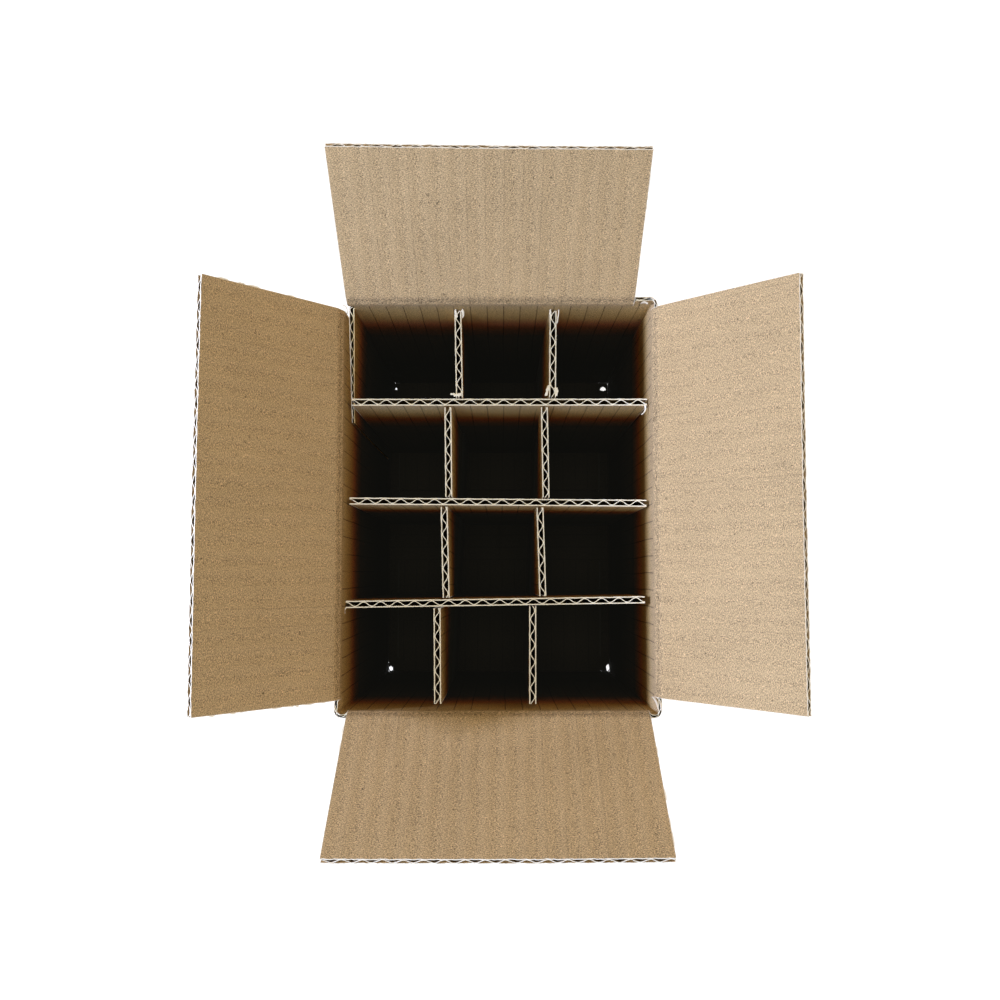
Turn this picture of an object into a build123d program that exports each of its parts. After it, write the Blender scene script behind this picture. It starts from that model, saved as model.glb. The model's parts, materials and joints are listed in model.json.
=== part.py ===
from build123d import *
import math
import os

# A small corrugated shipping box for twelve bottles: one folded and glued carton, its four open
# top flaps, a grid of five slotted dividers and the tape that seals its bottom.
# Millimetres. +Z is up, +Y runs along the long side, and the origin is the centre of the base.

# Board (corrugated, one wave of medium between two liners)
board = 2.7
liner = 0.3
medium = 0.25
flute_pitch = 6.5
flank_angle = 55.0
glue_sink = 0.08

# Carton, inside the walls and between the folds
inner_width = 116.5
inner_length = 153.5
inner_height = 168.3
seam_clearance = 0.95
slot_inset = 3.0
seam_gap = 0.5
layer_play = 0.15
fold_radius = 1.5
corner_radius = 2.0

# Glued joint inside the left wall, at the far corner
joint_gap = 5.0
tab_thickness = 1.5
tab_width = 42.5
tab_drop = 12.0
tab_taper = 12.0

# Top flaps: how far each one's two side edges keep from the inner corners, and how far it stands
# open from shut
left_flap_insets = (4.35, 3.15)
right_flap_insets = (5.25, 2.35)
far_flap_insets = (0.55, 6.25)
near_flap_insets = (2.35, 1.95)
left_flap_open = 133.6
right_flap_open = 137.1
far_flap_open = 133.9
near_flap_open = 131.4

# Folds of the top flaps, which hinge on the outer liner
closing_play = 0.2
hinge_play = 0.2
lip_thickness = 0.4
lip_play = 0.3
score_band = 4.0

# Dividers
divider_drop = 12.0
cross_clearance = 2.3
long_clearance = 2.0
long_shift = 0.6
slot_width = 4.0
slot_play = 0.3
# How each divider stands off its even place across and along the box, and how far it is turned
cross_offsets = {"far": (0.6, 2.025, 0.0), "middle": (0.0, 1.6, -0.45), "near": (-1.0, 1.675, 0.9)}
long_offsets = {"left": (-0.0833, -2.5), "right": (-2.0167, -2.5)}
# Above the slots each finger of a long divider leans to one side and turns a little
finger_leans = {"left": (-1.1, 0.0, -0.6, 1.6), "right": (-1.7, 0.0, -0.1, 1.3)}
finger_turns = {"left": (0.6, 1.5, 0.8, 1.2), "right": (-0.1, 1.7, 0.9, -0.6)}

# Tape over the bottom seam
tape_width = 50.0
tape_thickness = 0.15
tape_leg = 45.0

outer_width = inner_width + 2 * board
outer_length = inner_length + 2 * board
flap_depth = outer_width / 2 - seam_clearance
cross_length = inner_width - cross_clearance
long_length = inner_length - long_clearance
divider_height = inner_height - divider_drop
cell_length = inner_length / 4
cell_width = inner_width / 3
cross_places = {name: (x, y + cell_length * row, turn) for row, (name, (x, y, turn))
                in zip((1, 0, -1), cross_offsets.items())}
long_places = {name: (x + cell_width * column, turn) for column, (name, (x, turn))
               in zip((-0.5, 0.5), long_offsets.items())}
major_floor = tape_thickness
minor_floor = major_floor + board + layer_play
floor_top = minor_floor + board
major_fold = floor_top + inner_height
minor_fold = major_fold - board - closing_play
long_wall_top = major_fold - board - lip_play
short_wall_top = minor_fold - board - lip_play


def void_sketch(side):
    """One hollow of the flutes, on the upper (side 1) or the lower (side -1) half of the board."""
    half = board / 2 - liner
    amplitude = half - medium / 2
    flank = math.radians(flank_angle)
    radius = (flute_pitch / 4 * math.sin(flank) - amplitude * math.cos(flank)) / (1 - math.cos(flank))
    valley = radius - medium / 2
    crest = radius + medium / 2
    roof = half - glue_sink
    valley_y = radius - amplitude
    crest_y = -valley_y
    reach = flute_pitch / 2 - math.sqrt(crest ** 2 - (roof - crest_y) ** 2)
    lean = math.acos((roof - crest_y) / crest)
    middle = (lean + flank) / 2
    on_valley = (valley * math.sin(flank), valley_y - valley * math.cos(flank))
    on_crest = (flute_pitch / 2 - crest * math.sin(flank), crest_y + crest * math.cos(flank))
    mid_crest = (flute_pitch / 2 - crest * math.sin(middle), crest_y + crest * math.cos(middle))
    with BuildSketch() as void:
        with BuildLine():
            ThreePointArc((reach, side * roof), (mid_crest[0], side * mid_crest[1]),
                          (on_crest[0], side * on_crest[1]))
            Line((on_crest[0], side * on_crest[1]), (on_valley[0], side * on_valley[1]))
            ThreePointArc((on_valley[0], side * on_valley[1]), (0, side * (valley_y - valley)),
                          (-on_valley[0], side * on_valley[1]))
            Line((-on_valley[0], side * on_valley[1]), (-on_crest[0], side * on_crest[1]))
            ThreePointArc((-on_crest[0], side * on_crest[1]), (-mid_crest[0], side * mid_crest[1]),
                          (-reach, side * roof))
            Line((-reach, side * roof), (reach, side * roof))
        make_face()
    return void.sketch


upper_void = void_sketch(1)
lower_void = void_sketch(-1)


def board_section(start, end, plane, fluted=True):
    """The board's cut end from start to end along the plane's x, half its thickness each side."""
    margin = liner + flute_pitch / 2
    with BuildSketch(plane) as section:
        with Locations(((start + end) / 2, 0)):
            Rectangle(end - start, board)
        if fluted:
            count = int((end - start - 2 * margin) // flute_pitch) + 1
            first = (start + end - (count - 1) * flute_pitch) / 2
            places = [(first + index * flute_pitch, 0) for index in range(count)]
            between = [(x + flute_pitch / 2, 0) for x, _ in places[:-1]]
            with Locations(*places):
                add(upper_void, mode=Mode.SUBTRACT)
            with Locations(*between):
                add(lower_void, mode=Mode.SUBTRACT)
    return section.sketch


def fold_round(side):
    """What a rounded fold leaves off the square corner at the foot of a wall."""
    with BuildSketch() as sliver:
        with Locations((-side * fold_radius / 2, fold_radius / 2)):
            Rectangle(fold_radius, fold_radius)
        with Locations((-side * fold_radius, fold_radius)):
            Circle(fold_radius, mode=Mode.SUBTRACT)
    return sliver.sketch


# The carton: walls, glued tab and both layers of the bottom, all one folded sheet
with BuildPart() as carton:
    with BuildSketch(Plane.XY.offset(minor_floor)):
        RectangleRounded(outer_width, outer_length, corner_radius)
        Rectangle(inner_width, inner_length, mode=Mode.SUBTRACT)
    extrude(amount=long_wall_top - minor_floor)
    # The short walls stop lower, so that their flaps shut under the long ones
    with BuildSketch(Plane.XY.offset(short_wall_top)):
        Rectangle(inner_width, outer_length)
    extrude(amount=2 * board, mode=Mode.SUBTRACT)
    # The left wall's raw far edge, short of the corner where the tab folds in
    with BuildSketch(Plane.XY.offset(minor_floor)):
        with Locations((-outer_width / 2 + board / 2, outer_length / 2 - joint_gap / 2)):
            Rectangle(board, joint_gap)
    extrude(amount=long_wall_top, mode=Mode.SUBTRACT)
    tab_fold = carton.edges().filter_by(Axis.Z).filter_by_position(
        Axis.X, -inner_width / 2 - 0.01, -inner_width / 2 + 0.01).sort_by(Axis.Y)[-1]
    fillet(tab_fold, corner_radius)
    # Minor bottom flaps, then the major ones below them with the foot of each long wall
    with BuildSketch(Plane.XY.offset(minor_floor)):
        for side in (1, -1):
            with Locations((0, side * (outer_length - flap_depth) / 2)):
                Rectangle(inner_width - 2 * slot_inset, flap_depth)
    extrude(amount=board)
    with BuildSketch(Plane.YZ.offset(-outer_width / 2)):
        for side in (1, -1):
            with Locations((side * outer_length / 2, minor_floor)):
                add(fold_round(side))
    extrude(amount=outer_width, mode=Mode.SUBTRACT)
    with BuildSketch(Plane.XZ.offset(-(inner_length / 2 - slot_inset))):
        for side in (1, -1):
            foot_x = side * (outer_width / 2 - board / 2)
            with Locations((side * (outer_width / 4 + seam_gap / 4), major_floor + board / 2)):
                Rectangle(outer_width / 2 - seam_gap / 2, board)
            with Locations((foot_x, (major_floor + minor_floor + board) / 2)):
                Rectangle(board, minor_floor + board - major_floor)
    extrude(amount=inner_length - 2 * slot_inset)
    with BuildSketch(Plane.XZ.offset(-outer_length / 2)):
        for side in (1, -1):
            with Locations((side * outer_width / 2, major_floor)):
                add(fold_round(side))
    extrude(amount=outer_length, mode=Mode.SUBTRACT)
    # The tab, crushed flat by its glue and tapered at both ends
    tab_top = major_fold - tab_drop
    tab_bottom = minor_floor + tab_drop
    with BuildSketch(Plane.YZ.offset(-inner_width / 2)):
        with BuildLine():
            Polyline((inner_length / 2, tab_top),
                     (inner_length / 2 - tab_width, tab_top - tab_taper),
                     (inner_length / 2 - tab_width, tab_bottom + tab_taper),
                     (inner_length / 2, tab_bottom), close=True)
        make_face()
    extrude(amount=tab_thickness)


def fold_plane(name):
    """A plane across a top flap's fold: x points outwards, y up, and z along the fold."""
    insets = {"left": left_flap_insets, "right": right_flap_insets,
              "far": far_flap_insets, "near": near_flap_insets}[name]
    half_span = inner_length / 2 if name in ("left", "right") else inner_width / 2
    low, high = insets[0] - half_span, half_span - insets[1]
    outwards = {"left": (-1, 0), "right": (1, 0), "far": (0, 1), "near": (0, -1)}[name]
    along = (outwards[1], -outwards[0])
    start = low if sum(along) > 0 else high
    height = major_fold if name in ("left", "right") else minor_fold
    reach = outer_width / 2 if name in ("left", "right") else outer_length / 2
    origin = (outwards[0] * reach + abs(along[0]) * start,
              outwards[1] * reach + abs(along[1]) * start, height)
    plane = Plane(origin=origin, x_dir=(*outwards, 0), z_dir=(*along, 0))
    return plane, high - low


# The outer liner of each wall reaches up to its flap's fold, cut at 45 degrees
with BuildPart() as lips:
    for name in ("left", "right", "far", "near"):
        plane, length = fold_plane(name)
        with BuildSketch(plane):
            with BuildLine():
                Polyline((0, -hinge_play), (-lip_thickness, -hinge_play - lip_thickness),
                         (-lip_thickness, -board - lip_play - liner),
                         (0, -board - lip_play - liner), close=True)
            make_face()
        extrude(amount=length)
with BuildPart() as carton_sheet:
    add(carton.part)
    add(lips.part)
carton_sheet.part.label = "carton"


def make_flap(name, opened):
    """A top flap, standing open by a number of degrees from shut, fluted away from its fold."""
    plane, length = fold_plane(name)
    turn = math.radians(opened)
    outwards = plane.x_dir
    upwards = Vector(0, 0, 1)
    run = upwards * math.sin(turn) - outwards * math.cos(turn)
    inwards = -outwards * math.sin(turn) - upwards * math.cos(turn)
    middle = plane.origin + inwards * (board / 2)
    end_face = Plane(origin=middle + run * hinge_play, x_dir=plane.z_dir, z_dir=run)
    fluted_face = Plane(origin=middle + run * score_band, x_dir=plane.z_dir, z_dir=run)
    side_face = Plane(origin=plane.origin, x_dir=run, z_dir=plane.z_dir)
    inner = 1 if side_face.y_dir.dot(inwards) > 0 else -1
    bevel_end = hinge_play + lip_thickness + 0.1
    with BuildPart() as flap:
        score = board_section(0, length, end_face, fluted=False)
        extrude(score, amount=score_band - hinge_play, dir=run)
        extrude(board_section(0, length, fluted_face), amount=flap_depth - score_band, dir=run)
        # The end at the fold: a tongue of outer liner, cut at 45 degrees to clear the wall's lip
        with BuildSketch(side_face):
            with BuildLine():
                Polyline((-board, -inner * board), (hinge_play - board, -inner * board),
                         (bevel_end, inner * (bevel_end - hinge_play)),
                         (bevel_end, inner * 2 * board), (-board, inner * 2 * board), close=True)
            make_face()
        extrude(amount=length, mode=Mode.SUBTRACT)
    flap.part.label = f"flap_{name}"
    return flap


flaps = [make_flap("left", left_flap_open), make_flap("right", right_flap_open),
         make_flap("far", far_flap_open), make_flap("near", near_flap_open)]


def crossing(cross_name, long_name):
    """Where two dividers cross: the place along each, from the middle of its own length."""
    cross_x, cross_y, cross_turn = cross_places[cross_name]
    long_x, long_turn = long_places[long_name]
    cross_slope = math.tan(math.radians(cross_turn))
    long_slope = -math.tan(math.radians(long_turn))
    y = (cross_y + (long_x - cross_x) * cross_slope) / (1 - cross_slope * long_slope)
    x = long_x + long_slope * y
    along_cross = (x - cross_x) / math.cos(math.radians(cross_turn))
    along_long = (y - long_shift) / math.cos(math.radians(long_turn))
    return along_cross, along_long


def make_cross_divider(name):
    """A short divider, across the box, slotted from below where the long ones pass."""
    x, y, turn = cross_places[name]
    angle = math.radians(turn)
    plane = Plane(origin=(x, y, floor_top), x_dir=(math.cos(angle), math.sin(angle), 0), z_dir=(0, 0, 1))
    with BuildPart() as divider:
        extrude(board_section(-cross_length / 2, cross_length / 2, plane), amount=divider_height)
        with BuildSketch(plane):
            for long_name in long_places:
                with Locations((crossing(name, long_name)[0], 0)):
                    Rectangle(slot_width, 2 * board)
        extrude(amount=(divider_height + slot_play) / 2, mode=Mode.SUBTRACT)
    divider.part.label = f"divider_cross_{name}"
    return divider


def make_long_divider(name):
    """A long divider, slotted from above, whose free fingers each lean their own way."""
    x, turn = long_places[name]
    angle = math.radians(90 + turn)
    along = Vector(math.cos(angle), math.sin(angle), 0)
    middle = Vector(x - long_shift * math.tan(math.radians(turn)), long_shift, floor_top)
    root_height = (divider_height - slot_play) / 2
    finger_height = divider_height - root_height
    slots = sorted(crossing(cross_name, name)[1] for cross_name in cross_places)
    starts = [-long_length / 2] + [slot + slot_width / 2 for slot in slots]
    ends = [slot - slot_width / 2 for slot in slots] + [long_length / 2]
    with BuildPart() as divider:
        root_plane = Plane(origin=middle, x_dir=along, z_dir=(0, 0, 1))
        extrude(board_section(-long_length / 2, long_length / 2, root_plane), amount=root_height)
        for start, end, lean, finger_turn in zip(starts, ends, finger_leans[name], finger_turns[name]):
            finger_angle = math.radians(90 + finger_turn)
            base = middle + along * ((start + end) / 2) + Vector(0, 0, root_height)
            finger_plane = Plane(origin=base, z_dir=(0, 0, 1),
                                 x_dir=(math.cos(finger_angle), math.sin(finger_angle), 0))
            leaning = Vector(lean, 0, finger_height)
            section = board_section((start - end) / 2, (end - start) / 2, finger_plane)
            extrude(section, amount=leaning.length, dir=leaning.normalized())
    divider.part.label = f"divider_long_{name}"
    return divider


dividers = [make_cross_divider(name) for name in cross_places]
dividers += [make_long_divider(name) for name in long_places]

# The tape runs along the bottom seam and up both short walls
with BuildPart() as tape:
    with BuildSketch(Plane.YZ.offset(-tape_width / 2)):
        with Locations((0, tape_leg / 2)):
            Rectangle(outer_length + 2 * tape_thickness, tape_leg)
        with Locations((0, (tape_leg + tape_thickness) / 2)):
            Rectangle(outer_length, tape_leg - tape_thickness, mode=Mode.SUBTRACT)
    extrude(amount=tape_width)
tape.part.label = "bottom_tape"

os.makedirs("parts", exist_ok=True)
for piece in [carton_sheet, tape] + flaps + dividers:
    export_step(piece.part, f"parts/{piece.part.label}.step")
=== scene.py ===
import json
import math

import bpy
import numpy as np
from mathutils import Matrix, Vector


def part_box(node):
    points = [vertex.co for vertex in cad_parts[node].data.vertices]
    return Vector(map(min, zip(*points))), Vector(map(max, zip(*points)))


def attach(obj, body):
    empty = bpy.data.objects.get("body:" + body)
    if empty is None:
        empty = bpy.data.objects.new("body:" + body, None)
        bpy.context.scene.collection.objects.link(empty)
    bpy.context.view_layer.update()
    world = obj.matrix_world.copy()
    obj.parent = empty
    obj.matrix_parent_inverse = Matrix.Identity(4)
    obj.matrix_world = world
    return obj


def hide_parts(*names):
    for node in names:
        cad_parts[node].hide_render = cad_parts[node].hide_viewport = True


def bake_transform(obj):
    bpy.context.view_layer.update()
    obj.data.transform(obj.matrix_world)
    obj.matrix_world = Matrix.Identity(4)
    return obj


bl_info = {
    "name": "Bottle Shipping Box",
    "version": (1, 0, 0),
    "blender": (4, 5, 0),
    "location": "3D View > Sidebar > Shipping Box",
    "description": "Builds an open corrugated carton with its bottle dividers",
    "category": "Add Mesh",
}

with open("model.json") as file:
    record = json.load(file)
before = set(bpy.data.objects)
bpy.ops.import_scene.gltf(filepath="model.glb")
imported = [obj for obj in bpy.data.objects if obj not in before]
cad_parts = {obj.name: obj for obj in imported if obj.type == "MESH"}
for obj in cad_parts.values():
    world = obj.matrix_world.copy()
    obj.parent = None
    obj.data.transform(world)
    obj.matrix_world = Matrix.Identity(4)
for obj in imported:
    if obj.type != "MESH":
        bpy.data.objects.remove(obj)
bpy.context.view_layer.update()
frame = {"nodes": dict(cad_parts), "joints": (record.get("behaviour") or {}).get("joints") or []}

MM = 0.001
JOINTS = {joint["child"]: joint for joint in frame["joints"]}
SIDES = ("left", "right", "far", "near")
OUTWARDS = {"left": (-1, 0), "right": (1, 0), "far": (0, 1), "near": (0, -1)}

half_width, half_length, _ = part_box("carton")[1]
tape_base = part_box("bottom_tape")[0].z


def rim_height(side):
    return JOINTS[f"{side}_flap"]["pos_m"][2]


def floor_top():
    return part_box("divider_cross_middle")[0].z


def wall_line(side):
    """The axis that a wall runs along, half its length, and how far out it stands."""
    return (1, half_length, half_width) if side in ("left", "right") else (0, half_width, half_length)


# Shader expressions

class Signal:
    """A shader socket that adds a Math node for each operator of a Python expression."""

    def __init__(self, look, socket):
        self.look = look
        self.socket = socket

    def math(self, operation, first, second):
        return self.look.node("ShaderNodeMath", {"operation": operation}, {0: first, 1: second})

    def __add__(self, other):
        return self.math("ADD", self, other)

    def __radd__(self, other):
        return self.math("ADD", other, self)

    def __sub__(self, other):
        return self.math("SUBTRACT", self, other)

    def __rsub__(self, other):
        return self.math("SUBTRACT", other, self)

    def __mul__(self, other):
        return self.math("MULTIPLY", self, other)

    def __rmul__(self, other):
        return self.math("MULTIPLY", other, self)

    def cosine(self):
        return self.math("COSINE", self, 0.0)

    def ramp(self, low, high):
        """0 below low, 1 above high and smooth between."""
        return self.look.node("ShaderNodeMapRange", {"interpolation_type": "SMOOTHSTEP"},
                              {0: self, 1: low, 2: high, 3: 0.0, 4: 1.0})


class Look:
    """One procedural material, whose nodes are added by the expressions that need them."""

    def __init__(self, name):
        self.material = bpy.data.materials.new(name)
        self.material.use_nodes = True
        self.tree = self.material.node_tree
        self.tree.nodes.clear()

    def node(self, kind, settings=None, sockets=None, output=0):
        made = self.tree.nodes.new(kind)
        for key, value in (settings or {}).items():
            if key == "stops":
                self.set_stops(made.color_ramp, value)
            else:
                setattr(made, key, value)
        for key, value in (sockets or {}).items():
            if isinstance(value, Signal):
                self.tree.links.new(value.socket, made.inputs[key])
            else:
                made.inputs[key].default_value = value
        return Signal(self, made.outputs[output]) if made.outputs else None

    def set_stops(self, ramp, stops):
        while len(ramp.elements) < len(stops):
            ramp.elements.new(0.5)
        for element, (place, colour) in zip(ramp.elements, stops):
            element.position = place
            element.color = colour

    def attribute(self, name, output):
        return self.node("ShaderNodeAttribute", {"attribute_name": name}, output=output)

    def noise(self, place, scale, detail=2.0, roughness=0.5):
        return self.node("ShaderNodeTexNoise", {"noise_dimensions": "3D"},
                         {"Vector": place, "Scale": scale, "Detail": detail,
                          "Roughness": roughness})

    def multiply(self, first, second):
        return self.node("ShaderNodeVectorMath", {"operation": "MULTIPLY"}, {0: first, 1: second})

    def mix(self, factor, first, second):
        return self.node("ShaderNodeMix", {"data_type": "RGBA"},
                         {0: factor, 6: first, 7: second}, output=2)

    def brighten(self, colour, factor):
        return self.node("ShaderNodeVectorMath", {"operation": "SCALE"},
                         {0: colour[:3], "Scale": factor})

    def surface(self, colour, roughness, normal=None, glow=None, **constants):
        """The finished material. constants are the shader's other inputs, _ for a space."""
        sockets = {"Base Color": colour, "Roughness": roughness}
        if normal is not None:
            sockets["Normal"] = normal
        if glow is not None:
            sockets["Emission Color"] = glow
            constants["Emission_Strength"] = 1.0
        shader = self.node("ShaderNodeBsdfPrincipled", {}, sockets)
        for key, value in constants.items():
            shader.socket.node.inputs[key.replace("_", " ")].default_value = value
        self.node("ShaderNodeOutputMaterial", {}, {"Surface": shader})
        return self.material


def linear(colour):
    """A property's colour with its alpha, as a shader takes it."""
    return (colour[0], colour[1], colour[2], 1.0)


# Sizes and colours that a user would change

def length_property(name, description, millimetres):
    return bpy.props.FloatProperty(name=name, description=description, unit="LENGTH",
                                   default=millimetres * MM, min=0.0, precision=5)


def colour_property(name, description, red, green, blue):
    default = [((c / 255 + 0.055) / 1.055) ** 2.4 for c in (red, green, blue)]
    return bpy.props.FloatVectorProperty(name=name, description=description, subtype="COLOR",
                                         size=3, default=default, min=0.0, max=1.0)


class BoardSizes(bpy.types.PropertyGroup):
    thickness: length_property("Thickness", "Thickness of the corrugated board", 2.7)
    liner: length_property("Liner", "Thickness of each outer paper", 0.4)
    medium: length_property("Medium", "Thickness of the fluted paper", 0.3)
    pitch: length_property("Flute pitch", "Distance from one flute to the next", 6.5)
    fray: length_property("Fray", "How uneven a cut edge is", 0.28)


class CartonSizes(bpy.types.PropertyGroup):
    join: length_property("Join", "How far below its fold a flap piece begins", 4.0)
    corner: length_property("Corner radius", "Radius of the folded corners, outside", 3.2)
    raw_gap: length_property("Joint gap", "From the far side to the left wall's raw edge", 5.2)
    tab_width: length_property("Tab width", "Width of the glued tab", 42.5)
    tab_drop: length_property("Tab drop", "From the rim to the tab's top at its fold", 12.0)
    tab_taper: length_property("Tab taper", "How much the tab narrows at its free edge", 13.0)
    slot_inset: length_property("Slot inset", "From the inner corner to a bottom flap's side", 4.5)
    flap_depth: length_property("Flap depth", "From a flap's fold to its outer edge", 60.0)


class PaperColours(bpy.types.PropertyGroup):
    inside: colour_property("Inside", "Inner liner of the carton and its flaps", 188, 163, 127)
    outside: colour_property("Outside", "Outer liner of the carton", 184, 154, 114)
    divider: colour_property("Divider", "Liners of the dividers", 206, 181, 143)
    cut: colour_property("Cut edge", "Raw cut edges of the paper", 254, 250, 240)
    medium: colour_property("Medium", "Fluted paper between the liners", 168, 140, 104)
    tape: colour_property("Tape", "Paper tape over the bottom seam", 182, 140, 92)


class StudioSettings(bpy.types.PropertyGroup):
    key: bpy.props.FloatProperty(name="Key light", description="Power of the light at the left",
                                 default=17.0, min=0.0)
    fill: bpy.props.FloatProperty(name="Fill lights", description="Power of the other lights",
                                  default=5.0, min=0.0)
    overhead: bpy.props.FloatProperty(name="Overhead", description="Power of the light above",
                                      default=9.0, min=0.0)
    sky: bpy.props.FloatProperty(name="Sky", description="Strength of the light from all round",
                                 default=0.16, min=0.0)
    floor: bpy.props.FloatProperty(name="Floor glow", description="Light given by the pale floor",
                                   default=0.9, min=0.0)


# Sheets of corrugated board

def smooth_noise(places, wavelength, seed):
    """A smooth random curve along places, from -1 to 1."""
    count = 2048
    knots = np.random.default_rng(seed).uniform(-1, 1, count)
    at = np.asarray(places) / wavelength + 700
    index = np.floor(at).astype(int)
    part = at - index
    part = part * part * (3 - 2 * part)
    return knots[index % count] * (1 - part) + knots[(index + 1) % count] * part


def smoothstep(values, low, high):
    """0 below low, 1 above high and smooth between."""
    t = np.clip((values - low) / (high - low), 0, 1)
    return t * t * (3 - 2 * t)


class Sheets:
    """Collects closed layers of paper and turns them into one piece."""

    def __init__(self, name):
        self.name = name
        self.points = []
        self.quads = []
        self.sheet = []
        self.cut = []
        self.shade = []
        self.slots = []
        self.count = 0

    def add_layer(self, u, v, low, high, place, cut, shade, slot=0):
        """A closed slab between the offsets low and high, over rows and columns of u and v."""
        rows, columns = u.shape
        lower = place(u, v, low)
        upper = place(u, v, high)
        index = np.arange(rows * columns).reshape(rows, columns)
        face = np.stack([index[:-1, :-1], index[:-1, 1:], index[1:, 1:], index[1:, :-1]], -1)
        face = face.reshape(-1, 4)
        around = np.concatenate([index[0, :], index[1:, -1], index[-1, -2::-1], index[-2:0:-1, 0]])
        after = np.roll(around, -1)
        size = rows * columns
        rim = np.stack([around, after, after + size, around + size], -1)
        quads = np.concatenate([face[:, ::-1], face + size, rim])
        points = np.concatenate([lower.reshape(-1, 3), upper.reshape(-1, 3)])
        a, b, c = (points[quads[:, i]] for i in (0, 1, 2))
        d = points[quads[:, 3]]
        volume = (np.einsum("ij,ij->i", a, np.cross(b, c))
                  + np.einsum("ij,ij->i", a, np.cross(c, d))).sum()
        if volume < 0:
            quads = quads[:, ::-1]
        self.quads.append(quads + self.count)
        self.points.append(points)
        for offsets in (low, high):
            self.sheet.append(np.stack([u, v, np.broadcast_to(offsets, u.shape)], -1).reshape(-1, 3))
            self.cut.append(np.broadcast_to(cut, u.shape).ravel())
            self.shade.append(np.broadcast_to(shade(u, v, offsets), u.shape).ravel())
        self.slots.append(np.full(len(quads), slot))
        self.count += len(points)

    def build(self, materials):
        """The piece, with the attributes that its papers read."""
        points = np.concatenate(self.points)
        quads = np.concatenate(self.quads)
        mesh = bpy.data.meshes.new(self.name)
        mesh.vertices.add(len(points))
        mesh.vertices.foreach_set("co", points.astype(np.float32).ravel())
        mesh.loops.add(4 * len(quads))
        mesh.loops.foreach_set("vertex_index", quads.astype(np.int32).ravel())
        mesh.polygons.add(len(quads))
        mesh.polygons.foreach_set("loop_start", np.arange(0, 4 * len(quads), 4, dtype=np.int32))
        mesh.polygons.foreach_set("material_index", np.concatenate(self.slots).astype(np.int32))
        mesh.update(calc_edges=True)
        for name, kind, values in (("sheet", "FLOAT_VECTOR", self.sheet), ("cut", "FLOAT", self.cut),
                                   ("shade", "FLOAT", self.shade)):
            attribute = mesh.attributes.new(name, kind, "POINT")
            field = "vector" if kind == "FLOAT_VECTOR" else "value"
            attribute.data.foreach_set(field, np.concatenate(values).astype(np.float32).ravel())
        mesh.shade_smooth()
        mesh.set_sharp_from_angle(angle=math.radians(40))
        mesh.validate()
        for material in materials:
            mesh.materials.append(material)
        piece = bpy.data.objects.new(self.name, mesh)
        bpy.context.scene.collection.objects.link(piece)
        return piece


# How far in from a cut edge the fray reaches, and how far the inner liner sinks between flutes
FRAY_REACH = 0.9 * MM
FLUTE_SAG = 0.04 * MM


def add_board(sheets, u, v, place, seed, raw, shade, crush=None, centred=False, papers=(0, 1, 2)):
    """Two liners and the fluted paper between them. raw marks the cut edges, 1 where cut: the
    first and last row, which may differ along it, then the first and last column. Offsets run
    from the outer face inwards."""
    board = bpy.context.scene.box_board
    thickness, liner, medium = board.thickness, board.liner, board.medium
    base = thickness / 2 if centred else 0.0
    squeeze = np.ones_like(u) if crush is None else crush(u, v)
    phase = 2 * math.pi * u / board.pitch
    wave = np.sin(phase)
    swing = thickness / 2 - liner - medium / 2
    steep = np.sqrt(1 + (2 * math.pi * swing / board.pitch * np.cos(phase)) ** 2)
    half = medium / 2 * steep
    middle = thickness / 2 + swing * wave
    sag = FLUTE_SAG * (1 - wave)
    glued = liner * 0.9
    layers = [
        (np.zeros_like(u), np.full_like(u, liner)),
        (np.maximum(middle - half, glued), np.minimum(middle + half, thickness - glued)),
        (np.full_like(u, thickness - liner) - sag, np.full_like(u, thickness) - sag),
    ]
    edges = np.zeros_like(u)
    for edge, amount in zip((np.s_[0, :], np.s_[-1, :], np.s_[:, 0], np.s_[:, -1]), raw):
        edges[edge] = np.maximum(edges[edge], amount)
    for number, (low, high) in enumerate(layers):
        moved = v.copy()
        for end, sign, amount in ((0, -1, raw[0]), (-1, 1, raw[1])):
            near = np.clip(1 - np.abs(v - v[end]) / FRAY_REACH, 0, 1) * amount
            ragged = (0.6 * smooth_noise(u, 0.9 * MM, seed + 10 * number + end)
                      + 0.4 * smooth_noise(u, 3.1 * MM, seed + 10 * number + end + 5) - 0.35)
            moved = moved + sign * near * ragged * board.fray
        sheets.add_layer(u, moved, low * squeeze - base, high * squeeze - base, place, edges,
                         shade, papers[number])


def grid(columns, rows):
    """Two arrays, rows by columns."""
    u, v = np.meshgrid(np.asarray(columns, float), np.asarray(rows, float))
    return u, v


def stops(low, high, step):
    """Even places from low to high, about a step apart."""
    count = max(2, int(round((high - low) / step)) + 1)
    return np.linspace(low, high, count)


SCRAP_THICKNESS = 0.35 * MM


def add_scrap(sheets, start, end, bulge, across, seed, cut=1.0, slot=0):
    """A torn strip of paper from start to end in millimetres, bulging between them."""
    start, end, bulge, across = (np.array(vector, float) * MM for vector in (start, end, bulge, across))
    facing = np.cross(end - start, across)
    facing /= np.linalg.norm(facing)

    def place(u, v, w):
        ragged = 1 + 0.25 * smooth_noise(u, 0.21, seed) - 0.35 * u
        middle = (start + (end - start) * u[..., None] + bulge * np.sin(math.pi * u)[..., None]
                  + across * (v * ragged)[..., None])
        return middle + facing * np.broadcast_to(w, u.shape)[..., None]

    u, v = grid(np.linspace(0, 1, 13), np.linspace(-0.5, 0.5, 5))
    half = SCRAP_THICKNESS / 2
    sheets.add_layer(u, v, np.full_like(u, -half), np.full_like(u, half), place,
                     np.full_like(u, cut), lambda u, v, w: np.zeros_like(u), slot)


# How far from a leak hole's middle its torn paper reaches, and how thick that is
TORN_REACH = 7.0 * MM
TORN_THICKNESS = 0.3 * MM


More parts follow.
